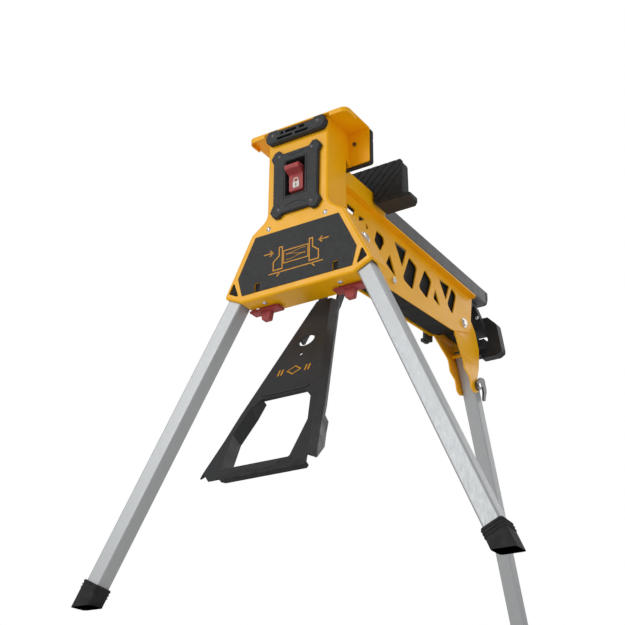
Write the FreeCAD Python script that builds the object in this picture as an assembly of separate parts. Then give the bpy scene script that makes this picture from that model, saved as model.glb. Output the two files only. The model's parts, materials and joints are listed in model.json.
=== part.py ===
"""Clamping work support on three legs: a foot-operated vise with a folding tripod.

Millimetres. +X is the right of the object, +Y runs from the front housing to the
rear handle, +Z is up. The model is drawn with y = 0 on the front face and the floor at
FLOOR_Z, and is moved at the end so that the origin is the centre of its footprint.
"""
import FreeCAD
import Part
import math
import os

V = FreeCAD.Vector

# ---------------------------------------------------------------- driving dimensions
SHEET = 2.5                 # steel sheet of the housing
PLATE = 3.0                 # steel plate of the frame and the jaw bracket
FLOOR_Z = -40.0
TOP_Z = 865.0               # top of both jaws, 905 mm above the floor
FLOOR_PLATE_Z = 507.0       # underside of the housing
HOUSING_DEPTH = 62.0
COLUMN_HALF = 68.6
COLUMN_DEPTH = 67.0
SHOULDER = (104.0, 646.0)   # (x, z) where the skirt meets the flare of the column
SKIRT_TIP = (163.0, 526.0)
SKIRT_FOOT = (123.0, 507.0)

FIXED_JAW_HALF = 114.0
FIXED_JAW_FRONT = -7.0
FIXED_JAW_PLATE_Y = 79.0
FIXED_JAW_BOTTOM_Z = 787.0
PAD_THICKNESS = 10.0

FRAME_INNER = 27.0          # inner face of each side plate, |x|
FRAME_OUTER = FRAME_INNER + PLATE
FRAME_REAR_Y = 706.0
FLANGE_Z = 770.0            # underside of the outward flange
FLANGE_EDGE = 44.0
GUIDE_TOP_Z = 806.0
GUIDE_REAR_Y = 266.0

BEAM_HALF = 25.0
BEAM_BOTTOM_Z = 793.0
BEAM_TOP_Z = 834.0
BEAM_FRONT_Y = 221.0
BEAM_REAR_Y = 810.0
KEEL_HALF = 8.0
KEEL_DEPTH = 36.0
KEEL_PLAY = 1.5             # play of the clutch and brake plates round the keel

JAW_FACE_Y = 211.0
JAW_HALF = 114.0
JAW_BOTTOM_Z = 779.0

LEG_SIZE = 32.0
LEG_WALL = 2.0
LEG_CORNER = 4.0
LEG_HINGE = V(111.5, 30.0, 580.0)       # right front leg, on its centreline
LEG_RUN = V(0.4754, -0.1164, -1.0)      # direction down the right front leg
HINGE_AXIS = V(1.0, 0.0, -LEG_RUN.x / LEG_RUN.z).normalize()
REAR_HINGE = V(0.0, 730.0, 560.0)
REAR_RUN = V(0.0, 0.3914, -1.0)
REAR_OFFSET = 8.4           # the leg's centreline lies this far behind its bolt
REAR_LEG_TOP = 86.0         # length of the rear leg above its bolt
FORK_HALF = 19.6            # outer face of the fork beside the leg
BOOT_HEIGHT = 44.0

PEDAL_PIVOT = V(0.0, 150.0, 600.0)
PEDAL_LEAN = 28.8           # degrees from the vertical, foot end forward
PEDAL_FACE_T = -8.8         # the face lies this far in front of the pivot
PEDAL_SHEET = 3.0
PEDAL_TOP_W = -91.0         # top of the visible face, below the pivot
CRANK_HEIGHT = 80.0         # crank pin above the pivot
CRANK_SLOT_HALF = 5.7       # half width of the yoke's slot round the 5 mm crank pin
CLUTCH_Y = 545.0
RAIL_TOP = 663.6
BOLT_R = 5.0
CLEAR = 0.4

os.makedirs("parts", exist_ok=True)
NODES = {}


# ---------------------------------------------------------------- helpers
def box(x0, x1, y0, y1, z0, z1):
    return Part.makeBox(x1 - x0, y1 - y0, z1 - z0, V(x0, y0, z0))


def cylinder(start, end, radius):
    run = end - start
    return Part.makeCylinder(radius, run.Length, start, run)


def rounded_wire(points, radius, place):
    """Closed outline through 2-D points, each corner rounded by its radius."""
    radii = radius if isinstance(radius, (list, tuple)) else [radius] * len(points)
    corners = []
    for index, point in enumerate(points):
        here = V(point[0], point[1], 0)
        back = V(*points[index - 1], 0) - here
        ahead = V(*points[(index + 1) % len(points)], 0) - here
        half = back.getAngle(ahead) / 2
        if radii[index] <= 0 or half > math.pi / 2 - 0.01:
            corners.append((here, None, here))
            continue
        cut = radii[index] / math.tan(half)
        start = here + V(back).normalize() * cut
        end = here + V(ahead).normalize() * cut
        middle_way = (V(back).normalize() + V(ahead).normalize()).normalize()
        middle = here + middle_way * (radii[index] / math.sin(half) - radii[index])
        corners.append((start, middle, end))
    edges = []
    for index, (start, middle, end) in enumerate(corners):
        if middle is not None:
            edges.append(Part.Arc(place(start), place(middle), place(end)).toShape())
        following = corners[(index + 1) % len(corners)][0]
        if (following - end).Length > 1e-6:
            edges.append(Part.LineSegment(place(end), place(following)).toShape())
    return Part.Wire(edges)


def prism_xz(points, y0, y1, radius=0):
    wire = rounded_wire(points, radius, lambda p: V(p.x, y0, p.y))
    return Part.Face(wire).extrude(V(0, y1 - y0, 0))


def prism_yz(points, x0, x1, radius=0):
    wire = rounded_wire(points, radius, lambda p: V(x0, p.x, p.y))
    return Part.Face(wire).extrude(V(x1 - x0, 0, 0))


def prism_xy(points, z0, z1, radius=0):
    wire = rounded_wire(points, radius, lambda p: V(p.x, p.y, z0))
    return Part.Face(wire).extrude(V(0, 0, z1 - z0))


def mirrored(shape):
    return shape.mirror(V(0, 0, 0), V(1, 0, 0))


def both(shape):
    return [shape, mirrored(shape)]


def fused(shapes):
    first = shapes[0]
    return first.fuse(shapes[1:]).removeSplitter() if len(shapes) > 1 else first


def save(node, *shapes):
    solids = []
    for shape in shapes:
        solids.extend(shape.Solids)
    NODES[node] = Part.makeCompound(solids) if len(solids) > 1 else solids[0]


def hexagon(head_point, axis, head_radius, head_height):
    """Six-sided head or nut with a chamfered crown, standing on head_point."""
    turn = FreeCAD.Rotation(V(0, 0, 1), axis)
    ring = []
    for side in range(7):
        angle = math.radians(60 * side)
        flat = V(head_radius * math.cos(angle), head_radius * math.sin(angle), 0)
        ring.append(head_point + turn.multVec(flat))
    head = Part.Face(Part.makePolygon(ring)).extrude(axis * head_height)
    top = head_point + axis * head_height
    crown = cylinder(head_point, top, head_radius * 0.93)
    top_edges = [edge for edge in crown.Edges if edge.CenterOfMass.isEqual(top, 1e-3)]
    return head.common(crown.makeChamfer(0.8, top_edges))


def bolt(head_point, outward, length, radius=BOLT_R, head_radius=9.0, head_height=5.0):
    """Hexagon-head bolt: the head stands on head_point, the shank runs inward."""
    axis = V(outward).normalize()
    shank = cylinder(head_point, head_point - axis * length, radius)
    return shank.fuse(hexagon(head_point, axis, head_radius, head_height))


def pan_screw(head_point, outward, head_radius=4.5, head_height=2.6, length=12.0):
    """Small domed screw with a cross-shaped drive."""
    axis = V(outward).normalize()
    shank = cylinder(head_point, head_point - axis * length, head_radius * 0.5)
    dome_radius = (head_radius ** 2 + head_height ** 2) / (2 * head_height)
    ball = Part.makeSphere(dome_radius, head_point + axis * (head_height - dome_radius))
    head = ball.common(cylinder(head_point, head_point + axis * head_height, head_radius))
    turn = FreeCAD.Rotation(V(0, 0, 1), axis)
    for angle in (45, 135):
        slot = Part.makeBox(head_radius, 0.9, 3.0, V(-head_radius / 2, -0.45, -1.2))
        slot.rotate(V(0, 0, 0), V(0, 0, 1), angle)
        slot.Placement = FreeCAD.Placement(head_point + axis * head_height,
                                           turn).multiply(slot.Placement)
        head = head.cut(slot)
    return shank.fuse(head)


# ---------------------------------------------------------------- front housing
def housing_outline():
    """Right half then left half of the front silhouette, counter-clockwise."""
    right = [SKIRT_FOOT, SKIRT_TIP, SHOULDER, (COLUMN_HALF, 672.0),
             (COLUMN_HALF, TOP_Z - PLATE)]
    left = [(-x, z) for x, z in reversed(right)]
    return right + left


HOUSING_RADII = [4.0, 6.0, 16.0, 26.0, 0.0, 0.0, 26.0, 16.0, 6.0, 4.0]


def front_housing():
    outer = prism_xz(housing_outline(), 0, HOUSING_DEPTH, HOUSING_RADII)
    front_edges = [edge for edge in outer.Edges
                   if abs(edge.BoundBox.YMax) < 1e-6 and edge.BoundBox.ZMax < TOP_Z - PLATE - 1]
    outer = outer.makeFillet(5.0, front_edges)
    wire = rounded_wire(housing_outline(), HOUSING_RADII, lambda p: V(p.x, SHEET, p.y))
    inner_wire = wire.makeOffset2D(-SHEET)
    inner = Part.Face(inner_wire).extrude(V(0, HOUSING_DEPTH, 0))
    shell = outer.cut(inner)
    shell = shell.cut(box(-200, 200, -1, 100, TOP_Z - PLATE - SHEET - 0.01, TOP_Z))
    column_back = [box(COLUMN_HALF - SHEET, COLUMN_HALF, HOUSING_DEPTH - 1, COLUMN_DEPTH,
                       690.0, TOP_Z - PLATE)]
    column_top = [box(COLUMN_HALF - SHEET, COLUMN_HALF, 6, HOUSING_DEPTH,
                      TOP_Z - PLATE - SHEET - 1, TOP_Z - PLATE)]
    column_front = [box(-COLUMN_HALF + 5, COLUMN_HALF - 5, 0, SHEET,
                        TOP_Z - PLATE - SHEET - 1, TOP_Z - PLATE)]
    shell = shell.fuse(both(column_back[0]) + both(column_top[0]) + column_front)
    tip_run = V(SKIRT_TIP[0] - SKIRT_FOOT[0], 0, SKIRT_TIP[1] - SKIRT_FOOT[1])
    along = V(tip_run).normalize()
    down = V(along.z, 0, -along.x)
    start = V(SKIRT_FOOT[0], 5.0, SKIRT_FOOT[1]) + along * 3.0 - down * 6.0
    end = start + along * (tip_run.Length - 6.5)
    corners = [start, end, end + down * 20, start + down * 20, start]
    leg_way = Part.Face(Part.makePolygon(corners)).extrude(V(0, 80, 0))
    shell = shell.cut([leg_way, mirrored(leg_way)])
    side_notch = prism_yz([(70, 480), (46, 480), (46, 514), (70, 556)], 120.0, 200.0)
    shell = shell.cut([side_notch, mirrored(side_notch)])
    return shell.cut(housing_holes())


BEZEL_SCREWS = [(37.0, 798.0), (36.5, 679.0)]
TRAY_HALF = 25.0
GRIP_SCREW = (52.0, 850.0)
HOUSING_SCREW = (63.5, 648.5)
SCREW_PLACES = BEZEL_SCREWS + [GRIP_SCREW, HOUSING_SCREW]


def housing_holes():
    half = TRAY_HALF + 1.5
    cuts = [prism_xz([(-half, 700), (half, 700), (half, 786), (-half, 786)], -1, 10, 3.0)]
    cuts.extend(both(prism_xz([(141, 556), (152.5, 533), (128.5, 521)], -1, 5, 2.5)))
    cuts.extend(both(prism_xz([(80, 521), (92, 521), (92, 540), (80, 540)], -1, 5, 1.5)))
    for x, z in SCREW_PLACES:
        cuts.extend(both(cylinder(V(x, -1, z), V(x, 5, z), 2.6)))
    cuts.extend(both(cylinder(V(83.0, 22.0, 500.0), V(83.0, 22.0, 515.0), 2.6)))
    cuts.extend(both(cylinder(LEG_HINGE, LEG_HINGE + HINGE_AXIS * 60, BOLT_R + 0.05)))
    cuts.extend(both(prism_xy([(66, 36), (116, 36), (116, 52), (66, 52)], 505, 512, 2.0)))
    return cuts


def front_label():
    right = [(121, 521), (131, 559), (93, 638)]
    plate = prism_xz(right + [(-x, z) for x, z in reversed(right)], -0.9, -0.05, 3.0)
    return plate.cut(housing_holes())


def skirt_liner():
    """Black plastic sheet behind the openings of the right half of the skirt."""
    sheet = prism_xz([(74, 512), (122, 512), (154, 527), (104, 634), (74, 634)], 2.55, 4.5, 4.0)
    return sheet.cut(cylinder(V(HOUSING_SCREW[0], 0, HOUSING_SCREW[1]),
                              V(HOUSING_SCREW[0], 9, HOUSING_SCREW[1]), 4.0))


save("front_housing", front_housing())
save("front_label", front_label())
save("skirt_liners", *both(skirt_liner()))


# ---------------------------------------------------------------- bezel, lever and grip
def lock_bezel():
    right = [(29, 670), (37, 663), (48, 664), (57, 678), (50, 693), (51, 785), (57, 798),
             (48, 811), (38, 813), (30, 803)]
    body = prism_xz(right + [(-x, z) for x, z in reversed(right)], -8.5, -0.05, 4.0)
    rim_edges = [edge for edge in body.Edges if abs(edge.BoundBox.YMax + 8.5) < 1e-6]
    body = body.makeChamfer(2.0, rim_edges)
    inner = TRAY_HALF - 2.5
    window_outline = [(-inner, 704), (inner, 704), (inner, 782), (-inner, 782)]
    tray = prism_xz([(-TRAY_HALF, 701.5), (TRAY_HALF, 701.5), (TRAY_HALF, 784.5),
                     (-TRAY_HALF, 784.5)], -1, 20, 3.0)
    body = body.cut(prism_xz(window_outline, -9, 1, 3.0))
    body = body.fuse(tray.cut(prism_xz(window_outline, -2, 18, 2.0)))
    holes = [cylinder(V(-30, 5, 744), V(30, 5, 744), 2.5)]
    for x, z in BEZEL_SCREWS:
        holes.extend(both(cylinder(V(x, -9, z), V(x, 1, z), 2.4)))
    return body.cut(holes)


save("lock_bezel", lock_bezel())
bezel_screws = []
for x, z in BEZEL_SCREWS:
    for side in (1, -1):
        bezel_screws.append(pan_screw(V(side * x, -8.5, z), V(0, -1, 0), 4.6, 2.4, 9.0))
save("bezel_screws", *bezel_screws)


def lock_lever():
    side = [(-4, 714), (9, 712), (14, 728), (14, 757), (8, 766), (-20, 765), (-23, 761),
            (-21, 754), (-5, 749)]
    paddle = prism_yz(side, -15.5, 15.5, [3, 3, 3, 5, 2, 1.5, 1.5, 2, 3])
    return paddle.cut(cylinder(V(-20, 5, 744), V(20, 5, 744), 2.55))


save("lock_lever", lock_lever())
save("lock_lever_pin", cylinder(V(-24.5, 5, 744), V(24.5, 5, 744), 2.5))


GRIP_PROUD = 12.0
GRIP_SLOTS = [(-34, -27, 850), (-23, 3, 850), (9, 22, 850), (-42, -6, 839.5), (0, 30, 839.5)]


def front_grip():
    right = [(60, 832), (67, 838), (69.5, 848), (63, 861.8), (43, 861.8), (37, 857)]
    body = prism_xz(right + [(-x, z) for x, z in reversed(right)], -GRIP_PROUD, -0.05, 3.5)
    rim = [edge for edge in body.Edges if abs(edge.BoundBox.YMax + GRIP_PROUD) < 1e-6]
    body = body.makeChamfer(2.0, rim)
    cuts = []
    for x0, x1, z in GRIP_SLOTS:
        cuts.append(prism_xz([(x0, z - 3), (x1, z - 3), (x1, z + 3), (x0, z + 3)],
                             -GRIP_PROUD - 1, -4, 2.0))
    x, z = GRIP_SCREW
    cuts.extend(both(cylinder(V(x, -GRIP_PROUD - 1, z), V(x, 1, z), 2.4)))
    return body.cut(cuts)


save("front_grip", front_grip())
grip_screw = pan_screw(V(GRIP_SCREW[0], -GRIP_PROUD, GRIP_SCREW[1]), V(0, -1, 0), 4.6, 2.4, 13.0)
save("grip_screws", *both(grip_screw))

front_fasteners = []
for side in (1, -1):
    front_fasteners.append(pan_screw(V(side * HOUSING_SCREW[0], -0.05, HOUSING_SCREW[1]),
                                     V(0, -1, 0), 5.2, 3.0, 8.0))
    front_fasteners.append(pan_screw(V(side * 83.0, 22.0, FLOOR_PLATE_Z), V(0, 0, -1),
                                     5.2, 3.0, 8.0))
save("housing_bolts", *front_fasteners)


# ---------------------------------------------------------------- fixed jaw
GUIDE_WAY = box(-FLANGE_EDGE - 2, FLANGE_EDGE + 2, 70, 280, 700, GUIDE_TOP_Z + 2)


def fixed_jaw_bracket():
    rear = FIXED_JAW_PLATE_Y + PLATE
    half = FIXED_JAW_HALF
    front = FIXED_JAW_FRONT
    top = prism_xy([(-half, front), (half, front), (half, rear), (-half, rear)],
                   TOP_Z - PLATE, TOP_Z, [14, 14, 0, 0])
    inset = half - PLATE
    ring_front = front + PLATE
    lip = prism_xy([(-half, front), (half, front), (half, 30), (-half, 30)],
                   TOP_Z - 10, TOP_Z - 1, [14, 14, 0, 0])
    lip = lip.cut([prism_xy([(-inset, ring_front), (inset, ring_front), (inset, 40), (-inset, 40)],
                            TOP_Z - 11, TOP_Z, [11, 11, 0, 0]),
                   box(-75, 75, front - 1, 10, TOP_Z - 11, TOP_Z - PLATE)])
    back = prism_xz([(-half, FIXED_JAW_BOTTOM_Z), (half, FIXED_JAW_BOTTOM_Z),
                     (half, TOP_Z - 1), (-half, TOP_Z - 1)],
                    FIXED_JAW_PLATE_Y, rear, [4, 4, 0, 0])
    bracket = fused([top, lip, back])
    fold = [edge for edge in bracket.Edges
            if abs(edge.BoundBox.YMin - rear) < 1e-6 and abs(edge.BoundBox.ZMin - TOP_Z) < 1e-6]
    bracket = bracket.makeFillet(4.0, fold)
    gusset = prism_yz([(COLUMN_DEPTH, 800.0), (FIXED_JAW_PLATE_Y + 0.5, 787.5),
                       (FIXED_JAW_PLATE_Y + 0.5, TOP_Z - 1), (COLUMN_DEPTH, TOP_Z - 1)],
                      COLUMN_HALF - SHEET, COLUMN_HALF)
    bracket = bracket.fuse(both(gusset)).removeSplitter()
    holes = both(cylinder(V(82, 70, 834), V(82, 90, 834), 4.0))
    return bracket.cut(holes + [GUIDE_WAY])


save("fixed_jaw_bracket", fixed_jaw_bracket())


def jaw_pad(y_back, y_face, half, z0, z1, hole_x, hole_z):
    """Ribbed rubber pad, its gripping face at y_face."""
    step = 1.0 if y_face > y_back else -1.0
    low, high = sorted((y_back, y_face))
    pad = prism_xz([(-half, z0), (half, z0), (half, z1), (-half, z1)], low, high, 5.0)
    grooves = []
    for index in range(-5, 6):
        x = index * 20.0
        groove = box(-1.2, 1.2, y_face - 1.2, y_face + 1.2, -80, 80)
        groove.rotate(V(0, 0, 0), V(0, 1, 0), 45.0)
        groove.translate(V(x, 0, (z0 + z1) / 2))
        grooves.append(groove)
    for side in (1, -1):
        grooves.append(cylinder(V(side * hole_x, y_back, hole_z),
                                V(side * hole_x, y_back + step * 4, hole_z), 7.5))
    return pad.cut(grooves)


PAD_BACK = FIXED_JAW_PLATE_Y + PLATE
fixed_pad = jaw_pad(PAD_BACK, PAD_BACK + PAD_THICKNESS, 116.0, 784.0, 863.0, 82, 834)
save("fixed_jaw_pad", fixed_pad.cut(GUIDE_WAY))
pad_screws = []
for side in (1, -1):
    pad_screws.append(cylinder(V(side * 82, 75, 834), V(side * 82, 82.0, 834), 3.9).fuse(
        cylinder(V(side * 82, 82.0, 834), V(side * 82, 85.8, 834), 7.0)))
save("jaw_pad_screws", *pad_screws)


# ---------------------------------------------------------------- lattice frame
WINDOWS = [
    ([(134, 746), (167, 747), (157, 723), (138, 725)], 2.5),
    ([(183, 742), (207, 743), (180, 726)], 1.5),
    ([(207, 737), (221, 730), (212, 722)], 1.5),
    ([(254, 741), (283, 738), (285, 724), (267, 697), (243, 711)], 5.0),
    ([(308, 710), (334, 664), (291, 680)], 2.5),
    ([(329, 750), (384, 753), (362, 702)], 2.0),
    ([(395, 742), (431, 733), (407, 667), (362, 676)], 8.0),
    ([(467, 744), (499, 728), (474, 674), (434, 686)], 8.0),
    ([(535, 750), (587, 753), (566, 708)], 2.0),
    ([(515, 717), (536, 680), (504, 688)], 2.5),
    ([(600, 755), (622, 745), (598, 685), (572, 702)], 8.0),
]


FRAME_BOLTS = [(656.0, 688.0), (320.0, 652.0), (84.0, 700.0)]


def frame_side():
    """Right side plate, with its outward flange and the upper guide."""
    outline = [(24, 640), (60, 640), (72, 582), (192, 582), (236, 622), (300, 628),
               (600, 648), (654, 665), (688, 676), (FRAME_REAR_Y, FLANGE_Z + PLATE),
               (24, FLANGE_Z + PLATE)]
    web = prism_yz(outline, FRAME_INNER, FRAME_OUTER,
                   [0, 0, 8, 12, 14, 40, 60, 10, 10, 0, 0])
    flange = prism_xy([(FRAME_INNER, COLUMN_DEPTH + 1), (FLANGE_EDGE, COLUMN_DEPTH + 1),
                       (FLANGE_EDGE, FRAME_REAR_Y - 6), (FLANGE_EDGE - 8, FRAME_REAR_Y),
                       (FRAME_INNER, FRAME_REAR_Y)],
                      FLANGE_Z, FLANGE_Z + PLATE, [0, 0, 3, 3, 0])
    guide = prism_yz([(COLUMN_DEPTH + 1, FLANGE_Z), (GUIDE_REAR_Y, FLANGE_Z),
                      (GUIDE_REAR_Y, GUIDE_TOP_Z), (COLUMN_DEPTH + 1, GUIDE_TOP_Z)],
                     FLANGE_EDGE - PLATE, FLANGE_EDGE, [0, 0, 10, 0])
    side = fused([web, flange, guide])
    cuts = [prism_yz(points, FRAME_INNER - 1, FRAME_OUTER + 1, radius)
            for points, radius in WINDOWS]
    for y, z in FRAME_BOLTS:
        cuts.append(cylinder(V(20, y, z), V(40, y, z), BOLT_R + 0.05))
    cuts.append(cylinder(V(20, PEDAL_PIVOT.y, PEDAL_PIVOT.z),
                         V(40, PEDAL_PIVOT.y, PEDAL_PIVOT.z), 6.05))
    return side.cut(cuts)


right_side = frame_side()
save("frame_side_right", right_side)
save("frame_side_left", mirrored(right_side))

frame_bolts = []
spacers = []
for y, z in FRAME_BOLTS:
    rear = y > 600
    head = 9.0 if rear else 7.5
    screw = bolt(V(FRAME_OUTER, y, z), V(1, 0, 0), 2 * FRAME_OUTER + 2, BOLT_R, head)
    frame_bolts.append(screw.fuse(hexagon(V(-FRAME_OUTER, y, z), V(-1, 0, 0), head, 5.0)))
    reach = 17.8 if rear else FRAME_INNER
    spacer = cylinder(V(-reach, y, z), V(reach, y, z), 7.5)
    spacers.append(spacer.cut(cylinder(V(-30, y, z), V(30, y, z), BOLT_R + 0.05)))
save("frame_bolts", *frame_bolts)
save("frame_spacers", *spacers)


def inner_channel():
    """Black cover that closes the frame from below, round the drive rod."""
    outer = FRAME_INNER - PLATE - 0.3
    profile = [(244, 628), (300, 631), (600, 651), (638, 662), (638, 752), (244, 752)]
    cover = prism_yz(profile, -outer, outer, [6, 30, 40, 6, 0, 0])
    hollow = [(200, 628), (300, 633.5), (600, 653.5), (700, 684), (700, 800), (200, 800)]
    cover = cover.cut(prism_yz(hollow, -outer + 2.5, outer - 2.5, [0, 30, 40, 0, 0, 0]))
    return cover.cut([box(-30, 30, CLUTCH_Y - 0.4, CLUTCH_Y + 6.4, RAIL_TOP - 9.4, RAIL_TOP - 2.6),
                      cylinder(V(-40, 320, 652), V(40, 320, 652), 8.0)])


save("inner_channel", inner_channel())


# ---------------------------------------------------------------- beam and moving jaw
def slide_beam():
    outline = [(-BEAM_HALF, BEAM_BOTTOM_Z), (BEAM_HALF, BEAM_BOTTOM_Z),
               (BEAM_HALF, BEAM_TOP_Z), (-BEAM_HALF, BEAM_TOP_Z)]
    wall = 2.5
    tube = prism_xz(outline, BEAM_FRONT_Y, BEAM_REAR_Y - 14, 7.0)
    inner = [(x - math.copysign(wall, x), z + (wall if z < 800 else -wall)) for x, z in outline]
    return tube.cut(prism_xz(inner, BEAM_FRONT_Y - 1, BEAM_REAR_Y, 4.5))


def beam_end_cap():
    """Moulded plug: its lower rear corner is cut away at a slant."""
    half = BEAM_HALF
    outline = [(-half, BEAM_BOTTOM_Z), (half, BEAM_BOTTOM_Z), (half, BEAM_TOP_Z),
               (-half, BEAM_TOP_Z)]
    flange = prism_xz(outline, BEAM_REAR_Y - 14, BEAM_REAR_Y, 7.0)
    slant = prism_yz([(BEAM_REAR_Y - 9, BEAM_BOTTOM_Z - 1), (BEAM_REAR_Y + 5, BEAM_BOTTOM_Z - 1),
                      (BEAM_REAR_Y + 5, BEAM_BOTTOM_Z + 30)], -half - 1, half + 1)
    plug_half = half - 2.7
    plug = prism_xz([(-plug_half, BEAM_BOTTOM_Z + 2.7), (plug_half, BEAM_BOTTOM_Z + 2.7),
                     (plug_half, BEAM_TOP_Z - 2.7), (-plug_half, BEAM_TOP_Z - 2.7)],
                    BEAM_REAR_Y - 32, BEAM_REAR_Y - 14, 4.3)
    return flange.cut(slant).fuse(plug)


save("slide_beam", slide_beam())
save("beam_end_cap", beam_end_cap())
save("beam_keel", box(-KEEL_HALF, KEEL_HALF, 232.0, BEAM_REAR_Y - 30,
                      BEAM_BOTTOM_Z - KEEL_DEPTH, BEAM_BOTTOM_Z))


def moving_jaw():
    skirt = prism_xy([(-125, 225), (-114, 219), (114, 219), (125, 225), (125, 256),
                      (114, 268), (-114, 268), (-125, 256)], JAW_BOTTOM_Z, JAW_BOTTOM_Z + 9, 3.0)
    back = JAW_FACE_Y + 27
    wall = prism_yz([(JAW_FACE_Y + 7, JAW_BOTTOM_Z), (back + 10, JAW_BOTTOM_Z), (back + 2, 792),
                     (back, TOP_Z - 8), (back - 6, TOP_Z), (JAW_FACE_Y + 7, TOP_Z)],
                    -JAW_HALF, JAW_HALF, [0, 0, 8, 3, 2, 0])
    saddle = prism_xz([(-34, JAW_BOTTOM_Z + 4), (34, JAW_BOTTOM_Z + 4), (34, 842), (-34, 842)],
                      JAW_FACE_Y + 20, JAW_FACE_Y + 57, 6.0)
    jaw = fused([skirt, wall, saddle])
    corner_round = []
    for side in (1, -1):
        cutter = box(0, 12, 200, 260, -12, 0)
        cutter = cutter.cut(cylinder(V(0, 200, -12), V(0, 260, -12), 12.0))
        if side < 0:
            cutter = mirrored(cutter)
        cutter.translate(V(side * (JAW_HALF - 12), 0, TOP_Z + 0.001))
        corner_round.append(cutter)
    tunnel = box(-48, 48, 200, 280, JAW_BOTTOM_Z - 1, GUIDE_TOP_Z + 1.5)
    socket = prism_xz([(-BEAM_HALF, BEAM_BOTTOM_Z), (BEAM_HALF, BEAM_BOTTOM_Z),
                       (BEAM_HALF, BEAM_TOP_Z), (-BEAM_HALF, BEAM_TOP_Z)],
                      BEAM_FRONT_Y, 300, 7.0)
    bolts = both(cylinder(V(14, 248, 825), V(14, 248, 860), 4.05))
    return jaw.cut(corner_round + [tunnel, socket] + bolts)


save("moving_jaw", moving_jaw())
pad = jaw_pad(JAW_FACE_Y + 7, JAW_FACE_Y, JAW_HALF, JAW_BOTTOM_Z + 1, TOP_Z - 1, 60, 840)
pad = pad.cut(box(-48, 48, 200, 280, JAW_BOTTOM_Z - 1, GUIDE_TOP_Z + 1.5))
save("moving_jaw_pad", pad)
jaw_bolts = []
for side in (1, -1):
    jaw_bolts.append(bolt(V(side * 14, 248, 842), V(0, 0, 1), 7.9, 4.0, 6.5, 4.0))
save("jaw_bolts", *jaw_bolts)


def guide_shoe(y0, y1, cheek_top):
    """Low friction pad on the right flange: carries the beam and keeps it central."""
    top_of_flange = FLANGE_Z + PLATE
    sole = box(KEEL_HALF + 3, BEAM_HALF + 1, y0, y1, top_of_flange, BEAM_BOTTOM_Z - CLEAR)
    cheek = box(BEAM_HALF + CLEAR, FLANGE_EDGE - PLATE, y0, y1, top_of_flange, cheek_top)
    return sole.fuse(cheek).removeSplitter()


shoes = []
for y0, y1, cheek_top in ((100.0, 205.0, GUIDE_TOP_Z - 4), (618.0, 660.0, 780.0)):
    shoes.extend(both(guide_shoe(y0, y1, cheek_top)))
save("guide_shoes", *shoes)


# ---------------------------------------------------------------- drive
def keel_plate(y, thickness, half, z0, z1):
    """Steel plate with a slot in its top that the keel of the beam runs in."""
    plate = prism_xz([(-half, z0), (half, z0), (half, z1), (-half, z1)], y, y + thickness, 3.0)
    slot_floor = BEAM_BOTTOM_Z - KEEL_DEPTH - KEEL_PLAY
    return plate.cut(box(-KEEL_HALF - KEEL_PLAY, KEEL_HALF + KEEL_PLAY, y - 1, y + thickness + 1,
                         slot_floor, z1 + 1))


save("brake_plates", *[keel_plate(y, 4.0, 23.5, 700.0, 768.0) for y in (646.0, 653.0)])
save("clutch_plates", *[keel_plate(y, 5.0, 15.0, 696.0, 782.0) for y in (CLUTCH_Y, CLUTCH_Y + 9)])


def drive_carriage():
    """Yoke round the crank pin, long flat rod and the block that carries the clutch."""
    yoke = box(-17, 17, 132, 168, 664, 702)
    yoke = yoke.cut(box(-20, 20, PEDAL_PIVOT.y - CRANK_SLOT_HALF, PEDAL_PIVOT.y + CRANK_SLOT_HALF,
                        668, 694))
    rod = box(-9, 9, 166, CLUTCH_Y - 18, 674, 680)
    block = box(-15, 15, CLUTCH_Y - 20, CLUTCH_Y + 34, 668, 686)
    posts = [box(-15, 15, CLUTCH_Y - 20, CLUTCH_Y - 8, 684, 738),
             box(-15, 15, CLUTCH_Y + 22, CLUTCH_Y + 34, 684, 738)]
    return fused([yoke, rod, block] + posts)


save("drive_carriage", drive_carriage())
rails = []
for y0, y1, cross_y in ((104.0, 170.0, 104.0), (CLUTCH_Y - 50, CLUTCH_Y + 40, CLUTCH_Y)):
    strips = both(box(10.0, 17.5, y0, y1, RAIL_TOP - 3, RAIL_TOP))
    cross = box(-FRAME_INNER, FRAME_INNER, cross_y, cross_y + 6, RAIL_TOP - 9, RAIL_TOP - 3)
    rails.append(fused(strips + [cross]))
save("drive_rails", *rails)


# ---------------------------------------------------------------- pedal
PEDAL_TURN = FreeCAD.Placement(PEDAL_PIVOT, FreeCAD.Rotation(V(1, 0, 0), -PEDAL_LEAN))


def at_pedal(shape):
    """Move a shape from pedal axes (x, t backward, w up the plate) to its place."""
    moved = shape.copy()
    moved.Placement = PEDAL_TURN.multiply(moved.Placement)
    return moved


# (half width of the flat face, distance below its top edge, depth of the side flange)
PEDAL_STATIONS = [(16, 0, 6), (47, 150, 6), (79, 305, 7), (83, 330, 7), (83.6, 334, 20),
                  (88, 362, 20), (95, 396, 20), (104, 440, 2)]
WINDOW_EDGE = [(46, 270), (62, 290), (76, 352), (68, 438)]
WINDOW_RIM = [(58, 252), (62, 290), (76, 352), (68, 438)]


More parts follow.
